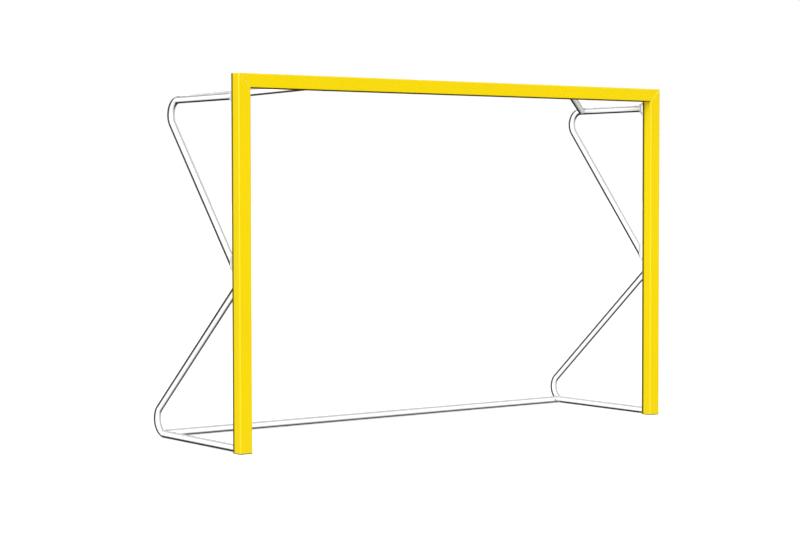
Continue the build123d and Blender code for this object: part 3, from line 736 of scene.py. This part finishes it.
def build_eyes():
    """Round eyes that the hoops and the braces turn on."""
    eyes = Shape()
    add_eye(eyes, Vector((POST_X, HINGE_Y, EYES_HIGH.z - EYE_LENGTH)), EYE_LENGTH)
    add_eye(eyes, Vector((POST_X, HINGE_Y, EYES_LOW.z)), MID_EYE_LENGTH)
    pair(eyes, "hoop_eyes", WHITE, "hoop_body", ["hoop_eyes"])
    eye = Shape()
    add_eye(eye, Vector((BRACE_PIVOT.x, BRACE_PIVOT.y, BRACE_EYE_LOW.z)), EYE_LENGTH)
    pair(eye, "brace_eye", WHITE, "brace_body", ["brace_eye"])


# ---- Pieces carried over from the frame ----
def dress_nodes():
    """Gives every shown node of the frame its material, and rounds its edges."""
    looks = {slot: material for material, slot in (YELLOW, WHITE, ZINC, CAST, DARK, BUSH, HOOK)}
    slots = {part["node"]: part["material_slot"] for part in frame["record"]["subparts"]}
    for name, node in frame["nodes"].items():
        node.data.materials.clear()
        node.data.materials.append(looks[slots[name]])
        if node.hide_render:
            continue
        joined = node.modifiers.new("joined", "WELD")
        joined.merge_threshold = MERGE_REACH
        rounding = node.modifiers.new("rounding", "BEVEL")
        rounding.width = EDGE_ROUND
        rounding.segments = 2
        rounding.limit_method = "ANGLE"
        rounding.angle_limit = ROUNDED_ANGLE
        rounding.harden_normals = True


# ---- Studio ----
def studio_world():
    """White backdrop; what the object reflects is bright above and dark low down behind it."""
    world = bpy.data.worlds.new("studio")
    bpy.context.scene.world = world
    world.use_nodes = True
    tree = world.node_tree
    tree.nodes.clear()
    output = tree.nodes.new("ShaderNodeOutputWorld")
    seen = tree.nodes.new("ShaderNodeBackground")
    seen.inputs["Color"].default_value = (1, 1, 1, 1)
    seen.inputs["Strength"].default_value = 1.0
    cast = tree.nodes.new("ShaderNodeBackground")
    cast.inputs["Strength"].default_value = SKY_STRENGTH
    place = tree.nodes.new("ShaderNodeTexCoord")
    parts = tree.nodes.new("ShaderNodeSeparateXYZ")
    tree.links.new(place.outputs["Generated"], parts.inputs[0])
    ramp = tree.nodes.new("ShaderNodeValToRGB")
    ramp.color_ramp.elements[0].position = 0.0
    ramp.color_ramp.elements[0].color = (0.30, 0.30, 0.31, 1)
    ramp.color_ramp.elements[1].position = 0.55
    ramp.color_ramp.elements[1].color = (1, 1, 1, 1)
    tree.links.new(parts.outputs["Z"], ramp.inputs[0])
    tree.links.new(ramp.outputs[0], cast.inputs["Color"])
    path = tree.nodes.new("ShaderNodeLightPath")
    choose = tree.nodes.new("ShaderNodeMixShader")
    tree.links.new(path.outputs["Is Camera Ray"], choose.inputs[0])
    tree.links.new(cast.outputs[0], choose.inputs[1])
    tree.links.new(seen.outputs[0], choose.inputs[2])
    tree.links.new(choose.outputs[0], output.inputs[0])


def studio_floor():
    """Plain pale floor, darker in what it sends back up to the object than it looks."""
    mesh = bpy.data.meshes.new("floor")
    quarters = ((-1, -1), (1, -1), (1, 1), (-1, 1))
    corners = [(x * FLOOR_REACH, y * FLOOR_REACH, FLOOR_Z) for x, y in quarters]
    mesh.from_pydata(corners, [], [(0, 1, 2, 3)])
    floor = bpy.data.objects.new("floor", mesh)
    bpy.context.scene.collection.objects.link(floor)
    material = bpy.data.materials.new("floor")
    material.use_nodes = True
    tree = material.node_tree
    tree.nodes.clear()
    output = tree.nodes.new("ShaderNodeOutputMaterial")
    pale = tree.nodes.new("ShaderNodeBsdfDiffuse")
    pale.inputs["Color"].default_value = (0.93, 0.93, 0.93, 1)
    glow = tree.nodes.new("ShaderNodeEmission")
    glow.inputs["Strength"].default_value = FLOOR_GLOW
    seen = tree.nodes.new("ShaderNodeAddShader")
    tree.links.new(pale.outputs[0], seen.inputs[0])
    tree.links.new(glow.outputs[0], seen.inputs[1])
    cast = tree.nodes.new("ShaderNodeBsdfDiffuse")
    cast.inputs["Color"].default_value = (0.30, 0.30, 0.30, 1)
    path = tree.nodes.new("ShaderNodeLightPath")
    choose = tree.nodes.new("ShaderNodeMixShader")
    tree.links.new(path.outputs["Is Camera Ray"], choose.inputs[0])
    tree.links.new(cast.outputs[0], choose.inputs[1])
    tree.links.new(seen.outputs[0], choose.inputs[2])
    tree.links.new(choose.outputs[0], output.inputs[0])
    mesh.materials.append(material)


def sun(name, towards, strength, spread, mirrored=True, shadows=True):
    """Soft sun lamp in the direction of a vector, with or without reflections and shadows."""
    lamp = bpy.data.lights.new(name, "SUN")
    lamp.energy = strength
    lamp.angle = math.radians(spread)
    lamp.use_shadow = shadows
    holder = bpy.data.objects.new(name, lamp)
    bpy.context.scene.collection.objects.link(holder)
    holder.rotation_mode = "QUATERNION"
    holder.rotation_quaternion = Vector(towards).to_track_quat("Z", "Y")
    holder.visible_glossy = mirrored


def studio_camera():
    """Camera at the front left, a little below the crossbar, looking slightly down."""
    level = Vector((math.sin(CAMERA_YAW), math.cos(CAMERA_YAW), 0))
    forward = math.cos(CAMERA_PITCH) * level - math.sin(CAMERA_PITCH) * Vector((0, 0, 1))
    right = Vector((math.cos(CAMERA_YAW), -math.sin(CAMERA_YAW), 0))
    up = right.cross(forward)
    side = math.cos(CAMERA_ROLL) * right + math.sin(CAMERA_ROLL) * up
    top = math.cos(CAMERA_ROLL) * up - math.sin(CAMERA_ROLL) * right
    matrix = Matrix((side, top, -forward)).transposed().to_4x4()
    matrix.translation = Vector(CAMERA_PLACE)
    lens = bpy.data.cameras.new("camera")
    lens.sensor_width = SENSOR_WIDTH
    lens.lens = CAMERA_LENS
    lens.clip_end = CAMERA_REACH
    camera = bpy.data.objects.new("camera", lens)
    bpy.context.scene.collection.objects.link(camera)
    camera.matrix_world = matrix
    bpy.context.scene.camera = camera


build_posts()
build_crossbar()
build_upper_hoops()
build_lower_hoops()
build_braces()
build_ground_bar()
build_spigot_welds()
build_eyes()
dress_nodes()
studio_world()
studio_floor()
sun("key", KEY_TOWARDS, KEY_STRENGTH, KEY_SPREAD, shadows=False)
sun("side", SIDE_TOWARDS, SIDE_STRENGTH, SIDE_SPREAD)
sun("fill", FILL_TOWARDS, FILL_STRENGTH, FILL_SPREAD, mirrored=False, shadows=False)
sun("back", BACK_TOWARDS, BACK_STRENGTH, BACK_SPREAD)
studio_camera()
bpy.context.scene.view_settings.view_transform = "Standard"
bpy.context.scene.view_settings.look = "None"
